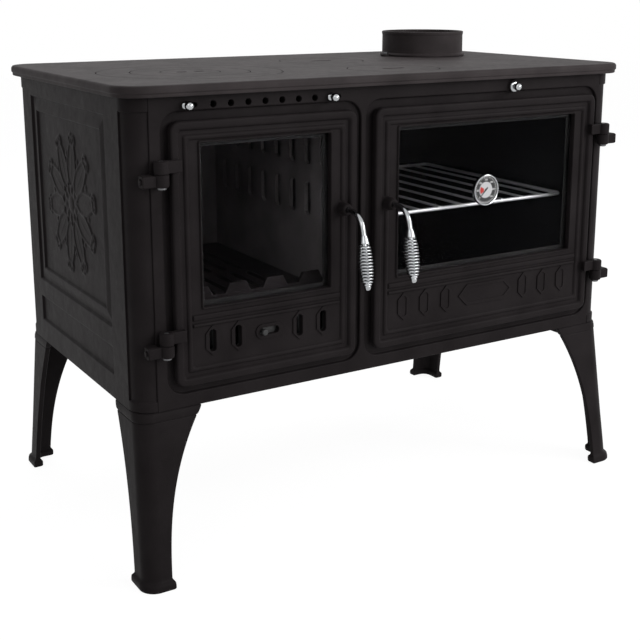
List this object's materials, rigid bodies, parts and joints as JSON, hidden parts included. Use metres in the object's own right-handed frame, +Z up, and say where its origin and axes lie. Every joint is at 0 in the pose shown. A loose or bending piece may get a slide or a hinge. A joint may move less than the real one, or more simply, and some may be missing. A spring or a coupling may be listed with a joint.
{
  "type": "wood cookstove",
  "caption": "Cast-iron wood cookstove on splayed legs, with a glazed firebox door, a glazed oven door, lift-out hot-plate rings and a flue collar.",
  "frame": {"origin": "on the floor, in the middle of the bounding box", "axes": "+Z up, front with both doors facing -Y, +X towards the oven"},
  "size_m": [0.8956, 0.5956, 0.7436],
  "materials": {
    "cast_iron": "matt black stove paint on cast iron",
    "cooktop_iron": "bare, lightly oiled cast iron with a grey-brown sheen",
    "chrome": "bright chrome plate",
    "glass": "clear heat-proof ceramic glass",
    "rope_seal": "braided glass-fibre rope",
    "steel": "plain sheet and bar steel",
    "enamel": "glossy black oven enamel",
    "dial": "chromed case with a printed dial"
  },
  "bodies": {
    "stove_body": {"base_plate": "cast_iron", "left_side_panel": "cast_iron", "right_side_panel": "cast_iron", "back_panel": "cast_iron", "front_frame": "cast_iron", "front_left_post": "cast_iron", "front_right_post": "cast_iron", "back_left_post": "cast_iron", "back_right_post": "cast_iron", "front_left_leg": "cast_iron", "front_right_leg": "cast_iron", "back_left_leg": "cast_iron", "back_right_leg": "cast_iron", "flue_collar": "cast_iron", "divider": "cast_iron", "firebox_left_liner": "cast_iron", "firebox_right_liner": "cast_iron", "firebox_back_liner": "cast_iron", "fire_grate": "cast_iron", "log_guard": "cast_iron", "left_upper_hinge_bracket": "cast_iron", "left_lower_hinge_bracket": "cast_iron", "right_upper_hinge_bracket": "cast_iron", "right_lower_hinge_bracket": "cast_iron", "cooktop": "cooktop_iron", "flue_bolt_left": "steel", "flue_bolt_right": "steel", "left_upper_hinge_pin": "steel", "left_lower_hinge_pin": "steel", "right_upper_hinge_pin": "steel", "right_lower_hinge_pin": "steel", "oven_liner": "enamel"},
    "firebox_door": {"firebox_door": "cast_iron", "firebox_door_glass": "glass", "firebox_door_glass_frame": "steel", "firebox_door_gasket": "rope_seal"},
    "firebox_handle": {"firebox_handle_rod": "chrome", "firebox_handle_coil": "chrome", "firebox_latch": "steel"},
    "door_air_slider": {"door_air_slider": "chrome"},
    "oven_door": {"oven_door": "cast_iron", "oven_door_glass": "glass", "oven_door_glass_frame": "steel", "oven_door_gasket": "rope_seal", "thermometer_case": "dial", "thermometer_nut": "steel"},
    "oven_handle": {"oven_handle_rod": "chrome", "oven_handle_coil": "chrome", "oven_latch": "steel"},
    "thermometer_needle": {"thermometer_needle": "cast_iron"},
    "top_air_slider": {"top_air_slider": "chrome"},
    "damper": {"damper_rod": "chrome", "damper_plate": "cast_iron"},
    "hotplate_outer_ring": {"hotplate_outer_ring": "cooktop_iron"},
    "hotplate_middle_ring": {"hotplate_middle_ring": "cooktop_iron"},
    "hotplate_centre_lid": {"hotplate_centre_lid": "cooktop_iron"},
    "rear_lid": {"rear_lid": "cooktop_iron"},
    "front_right_lid": {"front_right_lid": "cooktop_iron"},
    "ash_pan": {"ash_pan": "steel"},
    "oven_rack": {"oven_rack": "chrome"}
  },
  "joints": [
    {"name": "firebox_door_hinge", "type": "hinge", "parent": "stove_body", "child": "firebox_door", "pos_m": [-0.393, -0.22864, 0.466], "axis": [0, 0, -1], "range_deg": [0, 115]},
    {"name": "firebox_handle_turn", "type": "hinge", "parent": "firebox_door", "child": "firebox_handle", "pos_m": [-0.108, -0.22464, 0.508], "axis": [0, 1, 0], "range_deg": [0, 80]},
    {"name": "door_air_slide", "type": "slide", "parent": "firebox_door", "child": "door_air_slider", "axis": [1, 0, 0], "range_m": [0, 0.02]},
    {"name": "oven_door_hinge", "type": "hinge", "parent": "stove_body", "child": "oven_door", "pos_m": [0.404, -0.22864, 0.466], "axis": [0, 0, 1], "range_deg": [0, 115]},
    {"name": "oven_handle_turn", "type": "hinge", "parent": "oven_door", "child": "oven_handle", "pos_m": [-0.027, -0.22464, 0.508], "axis": [0, -1, 0], "range_deg": [0, 80]},
    {"name": "thermometer_needle_turn", "type": "hinge", "parent": "oven_door", "child": "thermometer_needle", "pos_m": [0.1635, -0.21914, 0.50925], "axis": [0, 1, 0], "range_deg": [0, 270]},
    {"name": "top_air_slide", "type": "slide", "parent": "stove_body", "child": "top_air_slider", "axis": [1, 0, 0], "range_m": [0, 0.013]},
    {"name": "damper_pull", "type": "slide", "parent": "stove_body", "child": "damper", "axis": [0, -1, 0], "range_m": [0, 0.06]},
    {"name": "outer_ring_lift", "type": "slide", "parent": "stove_body", "child": "hotplate_outer_ring", "axis": [0, 0, 1], "range_m": [0, 0.06]},
    {"name": "middle_ring_lift", "type": "slide", "parent": "hotplate_outer_ring", "child": "hotplate_middle_ring", "axis": [0, 0, 1], "range_m": [0, 0.06]},
    {"name": "centre_lid_lift", "type": "slide", "parent": "hotplate_middle_ring", "child": "hotplate_centre_lid", "axis": [0, 0, 1], "range_m": [0, 0.06]},
    {"name": "rear_lid_lift", "type": "slide", "parent": "stove_body", "child": "rear_lid", "axis": [0, 0, 1], "range_m": [0, 0.06]},
    {"name": "front_right_lid_lift", "type": "slide", "parent": "stove_body", "child": "front_right_lid", "axis": [0, 0, 1], "range_m": [0, 0.06]},
    {"name": "ash_pan_slide", "type": "slide", "parent": "stove_body", "child": "ash_pan", "axis": [0, -1, 0], "range_m": [0, 0.151]},
    {"name": "oven_rack_slide", "type": "slide", "parent": "stove_body", "child": "oven_rack", "axis": [0, -1, 0], "range_m": [0, 0.131]}
  ],
  "couplings": [
    {"joint": "ash_pan_slide", "follows": "firebox_door_hinge", "m_per_rad": 0.075},
    {"joint": "oven_rack_slide", "follows": "oven_door_hinge", "m_per_rad": 0.065}
  ]
}
